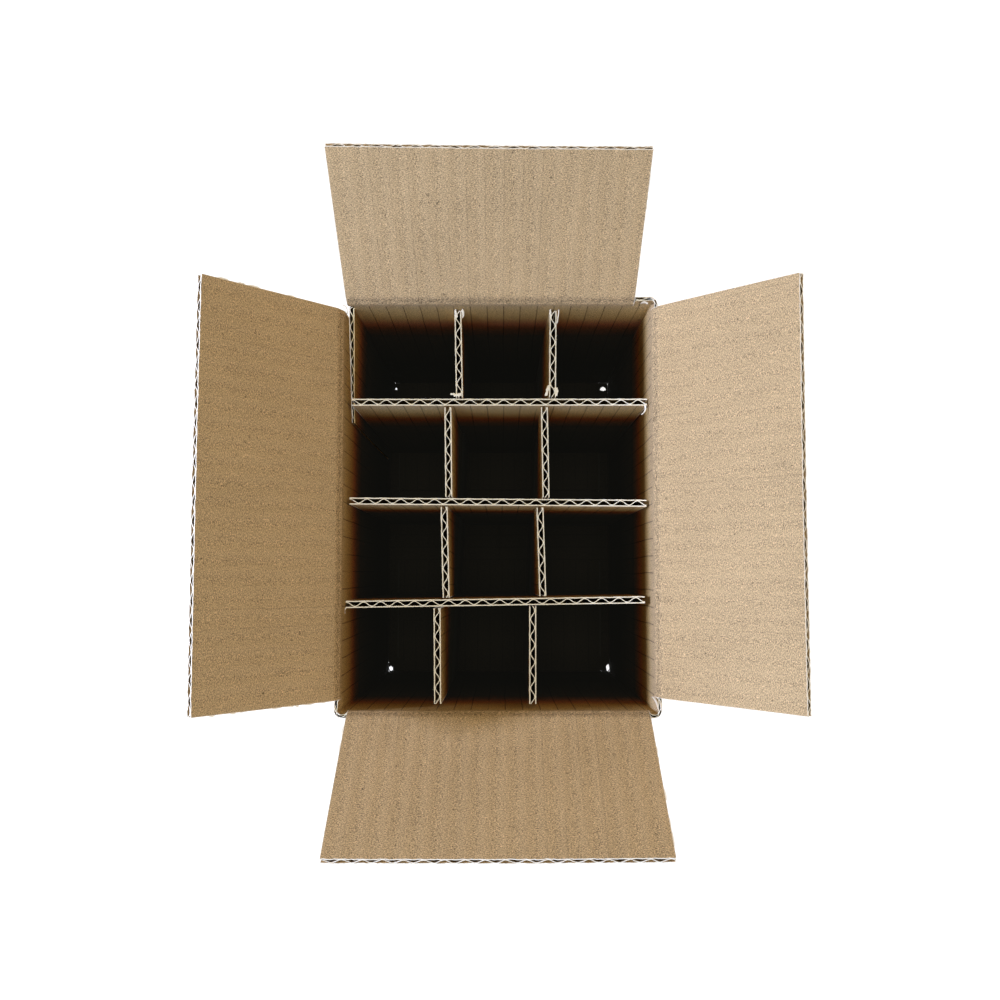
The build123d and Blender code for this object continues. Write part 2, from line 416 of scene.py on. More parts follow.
def add_torn_rim(sheets, centre, radii, limits, height, seed):
    """Torn paper round a leak hole in the floor, within the walls at the limits."""
    def place(u, v, w):
        inner = 1 + 0.22 * smooth_noise(np.cos(u) * 2 + np.sin(u), 0.8, seed) * (1 - v)
        reach = [radius * inner + (TORN_REACH - radius) * v for radius in radii]
        x = np.clip(centre[0] + reach[0] * np.cos(u), -limits[0], limits[0])
        y = np.clip(centre[1] + reach[1] * np.sin(u), -limits[1], limits[1])
        return np.stack([x, y, np.broadcast_to(height + w, x.shape)], -1)

    u, v = grid(np.linspace(0, 2 * math.pi, 49), np.linspace(0, 1, 6))
    # Painted shade: the torn paper takes the full painted shade of the floor
    sheets.add_layer(u, v, np.zeros_like(u), np.full_like(u, TORN_THICKNESS), place,
                     np.zeros_like(u), lambda u, v, w: np.ones_like(u), 2)


# Paper looks

# How the light is lost with depth inside, from the rim to a hundred millimetres down
DEPTH_STOPS = (
    (0.0, (1.0, 1.0, 1.0, 1.0)),
    (0.08, (0.98, 0.96, 0.86, 1.0)),
    (0.16, (0.96, 0.88, 0.60, 1.0)),
    (0.29, (0.92, 0.72, 0.38, 1.0)),
    (0.39, (0.85, 0.40, 0.26, 1.0)),
    (0.50, (0.38, 0.26, 0.24, 1.0)),
    (0.60, (0.10, 0.10, 0.11, 1.0)),
    (1.0, (0.012, 0.012, 0.013, 1.0)),
)
# Painted light: a faint glow given to the darkest places, at the same depths
PAINTED_DEEP_GLOW = (
    (0.35, (0.0, 0.0, 0.0, 1.0)),
    (0.62, (0.0036, 0.0036, 0.0030, 1.0)),
)
# The depth at which those tables end
SHADE_REACH = 100 * MM


def kraft_look(name, face, channel_shade=False, lines=0.0, line_gaps=0.25, washboard=0.0, crease=0.0):
    """Kraft paper: fibres, specks, the flutes that show through it, pale cut edges, painted shade that
    darkens it with depth inside the box, and painted glow. It is made once for each name."""
    if name in bpy.data.materials:
        return bpy.data.materials[name]
    board = bpy.context.scene.box_board
    colours = bpy.context.scene.box_colours
    look = Look(name)
    sheet = look.attribute("sheet", 1)
    cut = look.attribute("cut", 2)
    depth = look.attribute("shade", 2)
    u = look.node("ShaderNodeSeparateXYZ", {}, {0: sheet})
    cloud = look.noise(sheet, 38.0, 3.0)
    streak = look.noise(look.multiply(sheet, (1.0, 0.16, 1.0)), 420.0, 3.0, 0.6)
    fibres = look.noise(look.multiply(sheet, (0.6, 1.0, 1.0)), 3000.0, 1.0, 0.7)
    grain = look.noise(sheet, 5200.0, 0.0)
    wander = look.noise(sheet, 22.0, 1.0)
    ridges = (u * (2 * math.pi / board.pitch) + (wander - 0.5) * 1.1 - math.pi / 2).cosine()
    tone = 1.0 + (cloud - 0.5) * 0.20 + (streak - 0.5) * 0.14
    tone = tone + (fibres - 0.5) * 2.4 + (grain - 0.5) * 1.9
    tone = tone + ridges * washboard
    hairs = look.noise(look.multiply(sheet, (1.0, 0.4, 1.0)), 1000.0, 1.0, 0.5).ramp(0.66, 0.76)
    crossed = look.noise(look.multiply(sheet, (0.35, 1.0, 1.0)), 1100.0, 1.0, 0.5).ramp(0.67, 0.77)
    specks = look.noise(sheet, 620.0, 0.0).ramp(0.80, 0.86)
    tone = tone + hairs * 0.20 + crossed * 0.18 - specks * 0.35
    if lines:
        along = look.noise(look.multiply(sheet, (1.0, 0.12, 1.0)), 75.0, 1.0)
        tone = tone - ridges.ramp(0.955, 0.996) * along.ramp(line_gaps, line_gaps + 0.12) * lines
    if crease:
        height = look.node("ShaderNodeSeparateXYZ", {}, {0: sheet}, output=1)
        inside = height.ramp(-0.9 * MM, -0.1 * MM) * (1.0 - height.ramp(0.1 * MM, 0.9 * MM))
        tone = tone - inside * crease
    # Painted shade: away from its cut edges the fluted paper is painted a fifth as bright, for the shade
    # inside the flute channels
    if channel_shade:
        tone = tone * (cut.ramp(0.0, 0.45) * 0.8 + 0.2)
    colour = look.brighten(face, tone)
    paper = look.mix(cut.ramp(0.2, 0.8) * 0.95, colour, linear(colours.cut))
    # Painted shade: the paper's colour is multiplied darker with depth below the rim, from the shade
    # attribute
    deep = look.node("ShaderNodeValToRGB", {"stops": DEPTH_STOPS}, {0: depth})
    paper = look.multiply(paper, deep)
    # Painted light: a faint glow in the darkest depths, and a painted grey glow on the cut edges near the
    # rim
    glow = look.node("ShaderNodeValToRGB", {"stops": PAINTED_DEEP_GLOW}, {0: depth})
    glow = look.mix(cut.ramp(0.3, 0.9) * (1.0 - depth.ramp(0.1, 0.4)), glow, (0.12, 0.12, 0.12, 1.0))
    relief = look.node("ShaderNodeBump", {}, {"Strength": 0.08, "Distance": 0.0001,
                                              "Height": fibres + grain * 0.5 + streak * 0.5})
    return look.surface(paper, 0.88, relief, glow, Specular_IOR_Level=0.2)


def finish_piece(piece, node):
    """A piece that stays with the box and takes the place of one of its nodes."""
    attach(piece, "box")
    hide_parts(node)


# The carton's walls

# Between the tab and the wall that it is glued to, and the outer radius of the tab's fold
TAB_CLEARANCE = 0.05 * MM
TAB_CORNER = 2.6 * MM


def perimeter(sizes, board):
    """The outer face of the walls seen from above, from the left wall's raw edge round to the
    glued tab: distance along it, place and inward direction."""
    corner = sizes.corner
    tab_face = -half_width + board.thickness + TAB_CLEARANCE
    steps = [("line", (-half_width, half_length - sizes.raw_gap),
              (-half_width, -half_length + corner)),
             ("arc", (-half_width + corner, -half_length + corner), corner, 180),
             ("line", (-half_width + corner, -half_length), (half_width - corner, -half_length)),
             ("arc", (half_width - corner, -half_length + corner), corner, 270),
             ("line", (half_width, -half_length + corner), (half_width, half_length - corner)),
             ("arc", (half_width - corner, half_length - corner), corner, 0),
             ("line", (half_width - corner, half_length), (tab_face + TAB_CORNER, half_length)),
             ("arc", (tab_face + TAB_CORNER, half_length - TAB_CORNER), TAB_CORNER, 90),
             ("line", (tab_face, half_length - TAB_CORNER),
              (tab_face, half_length - board.thickness - sizes.tab_width))]
    places, normals = [], []
    marks = [0.0]
    for step in steps:
        if step[0] == "line":
            start, end = np.array(step[1]), np.array(step[2])
            length = np.linalg.norm(end - start)
            run = (end - start) / length
            t = np.linspace(0, 1, max(2, int(length / (0.2 * MM))))[:, None]
            places.append(start + (end - start) * t)
            normals.append(np.repeat([[-run[1], run[0]]], len(t), 0))
        else:
            centre, radius, first = np.array(step[1]), step[2], step[3]
            angle = np.radians(first + np.linspace(0, 90, 24))
            direction = np.stack([np.cos(angle), np.sin(angle)], -1)
            places.append(centre + radius * direction)
            normals.append(-direction)
            length = radius * math.pi / 2
        marks.append(marks[-1] + length)
    places = np.concatenate(places)
    normals = np.concatenate(normals)
    gaps = np.linalg.norm(np.diff(places, axis=0), axis=1)
    along = np.concatenate([[0], np.cumsum(gaps)])
    return along, places, normals, marks


def along_wall(side, place, marks, sizes):
    """Distance round the perimeter to a place along one wall."""
    corner = sizes.corner
    return {"left": marks[0] + (half_length - sizes.raw_gap) - place,
            "near": marks[2] + place - (-half_width + corner),
            "right": marks[4] + place - (-half_length + corner),
            "far": marks[6] + (half_width - corner) - place}[side]


# Painted shade: how much further down than the others each wall's inner face is painted, in millimetres
SHADE_HEAD_STARTS = {"left": 4.0, "near": 5.0, "right": -6.0, "far": 2.0}


def shade_below(drop, side):
    """How much painted shade an inner face takes at a drop below the rim."""
    head = SHADE_HEAD_STARTS[side] * MM * smoothstep(drop, 0, 3 * MM)
    return np.clip((drop + head) / SHADE_REACH, 0, 1)


def wall_shade(marks):
    """The painted shade of the walls and the tab, on their inner faces only."""
    order = ("left", "near", "right", "far")

    def shade(u, v, w):
        inside = smoothstep(np.broadcast_to(w, np.shape(u)), 0.5 * MM, 1.0 * MM)
        drop = rim_height("left") - v
        shades = [shade_below(drop, side) for side in order]
        found = shades[-1]
        for number in (2, 1, 0):
            corner = (marks[2 * number + 1] + marks[2 * number + 2]) / 2
            found = np.where(u < corner, shades[number], found)
        found = np.where(u > marks[7], shade_below(drop, "left"), found)
        return found * inside
    return shade


# Where the walls' sheet ends: above a bottom flap's fold, at a corner between two of them, at
# the tab's fold, and below the rim in the slot between two top flaps
FOLD_FOOT = 7.0 * MM
CORNER_FOOT = 3.3 * MM
TAB_FOOT = 4.0 * MM
SLOT_DROP = 3.2 * MM
# How far past the box's last corner the tab begins to taper
TAB_START = 1.2 * MM
# How far the walls bow outwards
WALL_BULGE = 0.35 * MM
# How much of its thickness the board loses: in a corner, in a slot, and at the tab's two edges
CORNER_CRUSH = 0.2
SLOT_CRUSH = 0.42
TAB_FOLD_CRUSH = 0.2
TAB_EDGE_CRUSH = 0.34


def wall_crush(marks, slots, tab_start, tab_end):
    """The board is thinner in its corners, in the slots between the flaps and in the tab."""
    rim = rim_height("left")

    def crush(u, v):
        factor = np.ones_like(u)
        for first, last in ((1, 2), (3, 4), (5, 6)):
            middle = (marks[first] + marks[last]) / 2
            factor -= CORNER_CRUSH * np.exp(-((u - middle) / (2.2 * MM)) ** 2)
        for first, last in slots:
            begun = smoothstep(u, first - 0.3 * MM, first + 0.8 * MM)
            ended = smoothstep(u, last - 0.8 * MM, last + 0.3 * MM)
            factor -= SLOT_CRUSH * smoothstep(v, rim - 8 * MM, rim - 4 * MM) * (begun * (1 - ended))
        pressed = smoothstep(u, tab_start - 2 * MM, tab_start + 1 * MM) * TAB_FOLD_CRUSH
        thinner = smoothstep(u, tab_start, tab_end) * TAB_EDGE_CRUSH
        return factor - pressed - thinner
    return crush


def make_walls(sheets):
    """The four walls and the glued tab, in one sheet."""
    sizes = bpy.context.scene.box_carton
    board = bpy.context.scene.box_board
    along, places, normals, marks = perimeter(sizes, board)
    rim = rim_height("left")
    tab_start = marks[7] + TAB_START
    tab_end = marks[9]

    def place(u, v, w):
        inward = [np.interp(u, along, normals[:, i]) for i in (0, 1)]
        bulge = WALL_BULGE * np.sin(np.clip(v / rim, 0, 1) * math.pi)
        point = [np.interp(u, along, places[:, i]) + inward[i] * w - inward[i] * bulge for i in (0, 1)]
        return np.stack([*point, v], -1)

    columns = stops(0, tab_end, board.pitch / 11)
    top = np.full(len(columns), rim - SLOT_DROP)
    low = np.full(len(columns), CORNER_FOOT)
    raw_top, raw_low = np.ones(len(columns)), np.ones(len(columns))
    flap_ends = []
    for side in SIDES:
        axis, half, _ = wall_line(side)
        ends = sorted(along_wall(side, corner[axis], marks, sizes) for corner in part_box(f"flap_{side}"))
        flap_ends += ends
        under = (columns > ends[0]) & (columns < ends[1])
        top[under] = rim_height(side) - sizes.join
        raw_top[under] = 0
        inner = half - board.thickness - sizes.slot_inset
        feet = sorted(along_wall(side, edge, marks, sizes) for edge in (-inner, inner))
        footed = (columns > feet[0]) & (columns < feet[1])
        low[footed] = FOLD_FOOT
        raw_low[footed] = 0
    flap_ends = sorted(flap_ends)
    slots = list(zip(flap_ends[1:-1:2], flap_ends[2::2]))
    tab = columns > tab_start
    share = (columns[tab] - tab_start) / (tab_end - tab_start)
    top[tab] = rim - sizes.tab_drop - sizes.tab_taper * share
    low[tab] = TAB_FOOT + sizes.tab_taper * share
    shares = np.array([0, 0.003, 0.03, 0.3, 0.6, 0.85, 0.95, 0.98, 0.994, 0.998, 1.0])
    u, t = grid(columns, shares)
    add_board(sheets, u, low + (top - low) * t, place, 11, raw=(raw_low, raw_top, 1, 0.3),
              shade=wall_shade(marks), crush=wall_crush(marks, slots, tab_start, tab_end))


# Folds and the bottom flaps

def fold_path(s, w, bend, radius):
    """A board's section across a fold: s runs along its outer face, from the wall (below 0) to
    the flap, w inwards from that face. Gives how far outwards and how far along the wall."""
    reach = radius * math.tan(bend / 2)
    arc = radius * bend
    run = (math.sin(bend), math.cos(bend))
    angle = np.clip((s + arc / 2) / radius, 0, bend)
    past = np.maximum(s - arc / 2, 0)
    before = np.minimum(s + arc / 2, 0)
    outward = radius * (1 - np.cos(angle)) + run[0] * past - np.cos(angle) * w
    upward = radius * np.sin(angle) - reach + run[1] * past + before + np.sin(angle) * w
    return outward, upward


def fold_crush(amount, reach):
    """The board is thinner by an amount at its fold, where v is 0."""
    def crush(u, v):
        return 1 - amount * np.exp(-(v / reach) ** 2)
    return crush


# The bottom flaps: the outer face's radius at their folds, the outer pair's height above the
# tape's face and the gap at its seam, and the inner pair's height
FOOT_RADIUS = 2.2 * MM
OUTER_LIFT = 0.15 * MM
SEAM_GAP = 0.02 * MM
INNER_LEVEL = 3.0 * MM


def floor_shade(u, v, w):
    """Painted shade: the floor is painted dark above, and left unshaded below."""
    return np.where(np.broadcast_to(w, u.shape) > 0.1 * MM, 1.0, 0.0)


def make_bottom(sheets):
    """The four bottom flaps, folded in under the walls."""
    sizes = bpy.context.scene.box_carton
    board = bpy.context.scene.box_board
    for number, side in enumerate(SIDES):
        axis, half, reach = wall_line(side)
        level = tape_base + OUTER_LIFT if axis else INNER_LEVEL
        length = reach - SEAM_GAP if axis else sizes.flap_depth
        inner = half - board.thickness - sizes.slot_inset

        def place(u, v, w, out=OUTWARDS[side], reach=reach, level=level):
            inward, down = fold_path(v, -w, math.pi / 2, FOOT_RADIUS)
            x = out[0] * (reach - inward) + abs(out[1]) * u
            y = out[1] * (reach - inward) + abs(out[0]) * u
            return np.stack([x, y, level - down], -1)

        start = level + FOOT_RADIUS - FOLD_FOOT - FOOT_RADIUS * math.pi / 4
        bends = np.array([-1.7, -1.0, -0.4, 0.4, 1.0, 1.7, 2.4]) * MM
        rows = [start, *bends, 20 * MM, length - 1 * MM, length]
        u, v = grid(stops(-inner, inner, board.pitch / 5), rows)
        add_board(sheets, u, v, place, 300 + 40 * number, raw=(0, 0, 1, 1), shade=floor_shade,
                  crush=fold_crush(0.28, 1.6 * MM))


# The leak holes in the floor's corners, in millimetres: middle and half sizes
LEAKS = (((-55.3, 73.7), (0.5, 0.6)), ((55.9, 73.6), (1.6, 1.1)),
         ((-57.0, -75.4), (1.1, 1.2)), ((57.3, -75.0), (0.75, 1.7)))
# Torn strips of liner standing in the corner slots: start, end, bulge and width
CORNER_SCRAPS = (
    ((57.6, -71.6, 169.6), (59.4, -75.8, 171.4), (0.3, 0.2, 0.4), (0.25, 0.1, 1.6)),
    ((59.7, -72.6, 169.8), (60.5, -76.4, 172.0), (0.2, 0.0, 0.3), (0.2, 0.0, 1.8)),
    ((55.6, 78.6, 169.6), (59.6, 78.0, 171.2), (0.3, 0.8, 0.5), (0.1, 0.1, 1.6)),
    ((54.6, 77.4, 169.2), (57.2, 76.9, 170.4), (0.2, 0.3, 0.3), (0.1, 0.1, 1.3)),
    ((-60.6, -73.2, 170.0), (-58.2, -78.2, 171.0), (-1.0, -0.6, 0.2), (0.1, 0.1, 1.6)),
    ((-59.2, 76.6, 169.2), (-57.4, 73.0, 170.8), (0.5, 0.6, 0.3), (0.2, 0.1, 1.7)),
)


def add_tears(sheets):
    """Torn paper in the floor's corners and in the corner slots."""
    inset = bpy.context.scene.box_board.thickness + 0.05 * MM
    limits = (half_width - inset, half_length - inset)
    for number, (centre, radii) in enumerate(LEAKS):
        add_torn_rim(sheets, np.array(centre) * MM, [radius * MM for radius in radii], limits,
                     floor_top() + 0.02 * MM, 90 + number)
    for number, scrap in enumerate(CORNER_SCRAPS):
        add_scrap(sheets, *scrap, 40 + number, cut=0.55, slot=2)


class BOX_OT_carton(bpy.types.Operator):
    """Builds the carton's walls, glued tab and bottom flaps"""
    bl_idname = "shipping_box.carton"
    bl_label = "Carton"

    def execute(self, context):
        sheets = Sheets("carton_board")
        make_walls(sheets)
        make_bottom(sheets)
        add_tears(sheets)
        finish_piece(sheets.build(carton_papers()), "carton")
        return {"FINISHED"}


def carton_papers():
    colours = bpy.context.scene.box_colours
    return [kraft_look("carton_outer", linear(colours.outside), lines=0.05),
            kraft_look("carton_medium", linear(colours.medium), channel_shade=True),
            kraft_look("carton_inner", linear(colours.inside), lines=0.55)]


# The top flaps

# How each flap is warped, in millimetres: bowed at its outer edge, twisted, and bowed from its
# fold to that edge
WARPS = {"left": (-0.5, 0.3, 0.4), "right": (0.5, -0.3, 0.3), "far": (0.5, 0.2, 0.3),
         "near": (-0.4, 0.3, 0.4)}
# How much wider, and how much deeper, each flap is at the two ends of its outer edge, in
# millimetres
FLARES = {"left": (0.6, 1.0), "right": (1.4, 1.4), "far": (1.4, 1.4), "near": (1.5, 1.5)}
TRIMS = {"left": (-0.9, -1.0), "right": (-1.3, -1.2), "far": (0.5, -0.6), "near": (1.0, 1.0)}
# The rows of a flap's sheet, from the fold out, for a flap as deep as the default
ROWS_DEPTH = 60 * MM
FLAP_ROWS = np.array([-4.0, -2.6, -1.8, -1.3, -0.9, -0.5, -0.15, 0.15, 0.5, 0.9, 1.3, 1.8, 2.6,
                      5, 12, 22, 33, 44, 53, 57.5, 58.9, 59.5, 59.8]) * MM


def make_flap(side, number):
    """A top flap in one sheet with the last few millimetres of its wall, bent at its fold."""
    sizes = bpy.context.scene.box_carton
    board = bpy.context.scene.box_board
    marks = perimeter(sizes, board)[3]
    joint = JOINTS[f"{side}_flap"]
    fold = joint["pos_m"]
    bend = math.radians(-joint["range_deg"][0] - 90)
    radius = 0.9 * board.thickness
    out = OUTWARDS[side]
    axis, _, reach = wall_line(side)
    ends = [corner[axis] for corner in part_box(f"flap_{side}")]
    places = stops(ends[0], ends[1], board.pitch / 15)
    ring = along_wall(side, places, marks, sizes)
    turn = 1 if ring[-1] > ring[0] else -1
    first = ring[0]
    depth = sizes.flap_depth
    rows = FLAP_ROWS * np.where(FLAP_ROWS > 0, depth / ROWS_DEPTH, 1)
    rows[0] = -sizes.join + radius * math.tan(bend / 2) - radius * bend / 2

    def place(u, v, w):
        t = ends[0] + (u - first) * turn
        middle = (ends[0] + ends[1]) / 2
        half = (ends[1] - ends[0]) / 2
        share = (t - middle) / half
        rise = np.clip(v / depth, 0, 1)
        flare, trim, warp = FLARES[side], TRIMS[side], WARPS[side]
        t = t + rise * (flare[1] * (1 + share) - flare[0] * (1 - share)) / 2 * MM
        v = v + rise * (trim[1] * (1 + share) + trim[0] * (1 - share)) / 2 * MM
        lift = (warp[0] * rise ** 2 * (1 - share ** 2) + warp[1] * rise ** 2 * share
                + warp[2] * rise * (1 - rise)) * MM
        outward, upward = fold_path(v, w, bend, radius)
        outward = outward - math.cos(bend) * lift
        upward = upward + math.sin(bend) * lift
        x = out[0] * (reach + outward) + abs(out[1]) * t
        y = out[1] * (reach + outward) + abs(out[0]) * t
        return np.stack([x, y, fold[2] + upward], -1)

    # Painted shade on the strip of wall below the fold
    def shade(u, v, w):
        return shade_below(-v, side)

    u, v = grid(first + (places - ends[0]) * turn, rows)
    sheets = Sheets(f"{side}_flap_board")
    add_board(sheets, u, v, place, 700 + 60 * number, raw=(0, 0.7, 0.7, 0.7), shade=shade,
              crush=fold_crush(0.20, 0.9 * MM))
    tear_sides(sheets, u, place, 70 + number)
    piece = sheets.build(flap_papers())
    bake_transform(piece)
    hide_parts(f"flap_{side}")


TEARS_PER_SIDE = 11


def tear_sides(sheets, u, place, seed):
    """Small tears of liner along a flap's two side edges."""
    board = bpy.context.scene.box_board
    chance = np.random.default_rng(seed)

    def at(u, v, w):
        return place(*(np.array([[value]]) for value in (u, v, w)))[0, 0]

    for edge, inner in ((u[0, 0], u[0, 1]), (u[0, -1], u[0, -2])):
        outward = math.copysign(1.0, edge - inner)
        for _ in range(TEARS_PER_SIDE):
            v = chance.uniform(4, 52) * MM
            length = chance.uniform(1.2, 5.5) * MM
            w = chance.choice([0.2 * MM, board.thickness - 0.25 * MM])
            start = at(edge - outward * 0.1 * MM, v, w)
            end = at(edge - outward * 0.1 * MM, v + length, w)
            sideways = (at(edge + outward * MM, v, w) - at(edge, v, w)) / MM
            add_scrap(sheets, start / MM, end / MM, sideways * chance.uniform(0.1, 0.4),
                      sideways * chance.uniform(0.4, 0.9), chance.integers(1000), 0.8, 2)


def flap_papers():
    colours = bpy.context.scene.box_colours
    return [kraft_look("flap_outer", linear(colours.outside), lines=0.05),
            kraft_look("flap_medium", linear(colours.medium), channel_shade=True),
            kraft_look("flap_inner", linear(colours.inside), lines=0.16, line_gaps=0.52,
                       washboard=0.022, crease=0.14)]


class BOX_OT_top_flaps(bpy.types.Operator):
    """Builds the four open top flaps, each bending at its fold"""
    bl_idname = "shipping_box.top_flaps"
    bl_label = "Top flaps"

    def execute(self, context):
        for number, side in enumerate(SIDES):
            make_flap(side, number)
        return {"FINISHED"}


# The dividers

def divider_papers():
    colours = bpy.context.scene.box_colours
    return [kraft_look("divider_face", linear(colours.divider), lines=0.45),
            kraft_look("divider_medium", linear(colours.medium), channel_shade=True)]


# How far below the rim the painted shade on a divider begins
DIVIDER_LIGHT = 9 * MM


# Painted shade: the dividers are painted darker with depth below that line
def divider_shade(u, v, w):
    return np.clip((rim_height("left") - DIVIDER_LIGHT - floor_top() - v) / SHADE_REACH, 0, 1)


def add_divider_board(sheets, u, v, place, seed, raw):
    add_board(sheets, u, v, place, seed, raw, divider_shade, centred=True, papers=(0, 1, 0))


def upright(origin, turn, lean=0.0, twist=None, height=1.0, base=0.0):
    """Places a standing board: u along it, v up it, w through it. It leans sideways and turns
    further with height."""
    def place(u, v, w):
        up = np.clip((v - base) / height, 0, 1)
        angle = turn if twist is None else turn + (twist - turn) * smoothstep(up, 0, 0.7)
        x = origin[0] + np.cos(angle) * u - np.sin(angle) * w + lean * up
        y = origin[1] + np.sin(angle) * u + np.cos(angle) * w
        return np.stack([x, y, floor_top() + v], -1)
    return place


# How far each divider is turned from square, in degrees, and the middles of the long ones
CROSS_TURNS = {"far": 0.0, "middle": -0.45, "near": 0.9}
LONG_TURNS = {"left": -2.5, "right": -2.5}
LONG_MIDDLES = {"left": (-19.474 * MM, 0.6 * MM), "right": (17.426 * MM, 0.6 * MM)}
# How far each finger of a long divider leans at its top, in millimetres, and is turned there,
# in degrees, from the near end to the far end
FINGER_LEANS = {"left": (-1.1, 0.0, -0.6, 1.6), "right": (-1.7, 0.0, -0.1, 1.3)}
FINGER_TURNS = {"left": (0.6, 1.5, 0.8, 1.2), "right": (-0.1, 1.7, 0.9, -0.6)}
SLOT_WIDTH = 4.0 * MM
# How far a slot runs past the middle of a divider's height
SLOT_PLAY = 0.15 * MM


def divider_height():
    low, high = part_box("divider_cross_middle")
    return high.z - low.z


def cross_line(name):
    """The middle, the half length and the turn of a short divider."""
    low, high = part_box(f"divider_cross_{name}")
    turn = math.radians(CROSS_TURNS[name])
    middle = (low + high) / 2
    return (middle.x, middle.y), (high.x - low.x) / 2, turn


def long_line(name):
    """The middle, the half length and the turn of a long divider."""
    low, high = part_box(f"divider_long_{name}")
    turn = math.radians(90 + LONG_TURNS[name])
    return LONG_MIDDLES[name], (high.y - low.y) / 2 / math.sin(turn), turn


def meeting(cross_name, long_name):
    """Where two dividers cross, along each."""
    (cx, cy), _, cross_turn = cross_line(cross_name)
    (lx, ly), _, long_turn = long_line(long_name)
    a = np.array([[math.cos(cross_turn), -math.cos(long_turn)],
                  [math.sin(cross_turn), -math.sin(long_turn)]])
    return np.linalg.solve(a, np.array([lx - cx, ly - cy]))


def tall_rows(low, high, raw_low, raw_high):
    """Row heights of a standing board, closer together at a cut edge near the top."""
    span = high - low
    rows = [low, high]
    for step in (0.25, 0.6, 1.2, 3.0, 7.0, 14.0, 28.0):
        if raw_high and step * MM < span / 2:
            rows.append(high - step * MM)
    if raw_low:
        rows += [low + 0.3 * MM, low + 1 * MM]
    return sorted(rows)


# Frayed liner at the ends of the dividers: start, end, bulge and width
DIVIDER_SCRAPS = {
    "short_divider_far": (
        ((57.0, 39.4, 161.2), (55.6, 35.6, 161.6), (0.7, -0.3, 0.0), (0.1, 0.1, 2.0)),),
    "short_divider_near": (
        ((-57.6, -38.6, 161.4), (-58.4, -41.0, 161.9), (-0.5, 0.2, 0.1), (0.1, 0.1, 1.4)),),
    "long_divider_left": (
        ((-16.0, 73.8, 161.4), (-16.5, 76.3, 163.6), (-0.2, 0.1, 0.1), (0.7, 0.9, 0.2)),
        ((-13.6, 74.0, 161.4), (-13.9, 76.3, 163.4), (0.2, 0.1, 0.1), (0.6, 0.9, 0.2)),
        ((-16.2, 43.2, 161.8), (-18.4, 43.4, 162.6), (0.0, 0.1, 0.3), (0.1, 0.9, 0.2)),
        ((-14.2, 43.4, 161.9), (-17.0, 42.6, 163.0), (0.0, 0.1, 0.2), (0.1, 1.0, 0.3))),
    "long_divider_right": (
        ((23.0, 71.5, 161.6), (23.6, 76.3, 163.4), (0.1, 0.2, 0.1), (0.1, 0.1, 1.2)),
        ((20.6, 73.6, 161.6), (20.3, 76.3, 163.6), (-0.1, 0.1, 0.1), (0.6, 0.8, 0.2)),
        ((20.0, 47.0, 162.1), (18.6, 42.8, 162.4), (-0.1, 0.1, 0.2), (1.5, 0.3, 0.1)),
        ((22.4, 46.0, 162.0), (22.6, 42.8, 162.4), (0.2, 0.0, 0.1), (1.3, 0.1, 0.1))),
}


def add_frays(sheets):
    for number, scrap in enumerate(DIVIDER_SCRAPS.get(sheets.name, ())):
        add_scrap(sheets, *scrap, 20 + number)


def between_slots(half, edges):
    """The start and end of each stretch of a divider between its slots."""
    starts = [-half] + [edge + SLOT_WIDTH / 2 for edge in edges]
    ends = [edge - SLOT_WIDTH / 2 for edge in edges] + [half]
    return list(zip(starts, ends))


def make_cross(name, number):
    """A short divider: a plain upper half, and a lower half cut by the slots."""
    middle, half, turn = cross_line(name)
    height = divider_height()
    slot_top = height / 2 + SLOT_PLAY
    step = bpy.context.scene.box_board.pitch / 16
    sheets = Sheets(f"short_divider_{name}")
    place = upright(middle, turn)
    upper, v = grid(stops(-half, half, step), tall_rows(slot_top, height, False, True))
    add_divider_board(sheets, upper, v, place, 1200 + 50 * number, (0, 1, 1, 1))
    edges = sorted(meeting(name, long_name)[0] for long_name in LONG_TURNS)
    for index, (start, end) in enumerate(between_slots(half, edges)):
        lower, v = grid(stops(start, end, step * 2), tall_rows(0, slot_top, True, False))
        add_divider_board(sheets, lower, v, place, 1210 + 50 * number + index, (1, 0, 1, 1))
    add_frays(sheets)
    finish_piece(sheets.build(divider_papers()), f"divider_cross_{name}")


def make_long(name, number):
    """A long divider: a plain lower half, and fingers that lean and turn above its slots."""
    middle, half, turn = long_line(name)
    height = divider_height()
    root = height / 2 - SLOT_PLAY
    step = bpy.context.scene.box_board.pitch / 16
    sheets = Sheets(f"long_divider_{name}")
    lower, v = grid(stops(-half, half, step * 2), tall_rows(0, root, True, False))
    add_divider_board(sheets, lower, v, upright(middle, turn), 1500 + 50 * number, (1, 1, 1, 1))
    edges = sorted(meeting(cross_name, name)[1] for cross_name in CROSS_TURNS)
    for index, (start, end) in enumerate(between_slots(half, edges)):
        centre = (start + end) / 2
        origin = (middle[0] + math.cos(turn) * centre, middle[1] + math.sin(turn) * centre)
        finger = upright(origin, turn, FINGER_LEANS[name][index] * MM,
                         math.radians(90 + FINGER_TURNS[name][index]), height - root, root)

        def place(u, v, w, centre=centre, finger=finger):
            return finger(u - centre, v, w)

        upper, v = grid(stops(start, end, step), tall_rows(root, height, False, True))
        add_divider_board(sheets, upper, v, place, 1510 + 50 * number + 7 * index, (0, 1, 1, 1))
    add_frays(sheets)
    finish_piece(sheets.build(divider_papers()), f"divider_long_{name}")


class BOX_OT_short_dividers(bpy.types.Operator):
    """Builds the three short dividers, slotted from below"""
    bl_idname = "shipping_box.short_dividers"
    bl_label = "Short dividers"

    def execute(self, context):
        for number, name in enumerate(CROSS_TURNS):
            make_cross(name, number)
        return {"FINISHED"}


class BOX_OT_long_dividers(bpy.types.Operator):
    """Builds the two long dividers, whose fingers lean and turn"""
    bl_idname = "shipping_box.long_dividers"
    bl_label = "Long dividers"

    def execute(self, context):
        for number, name in enumerate(LONG_TURNS):
            make_long(name, number)
        return {"FINISHED"}


# The tape

# From one strengthening thread of the tape to the next
THREAD_GAP = 11 * MM


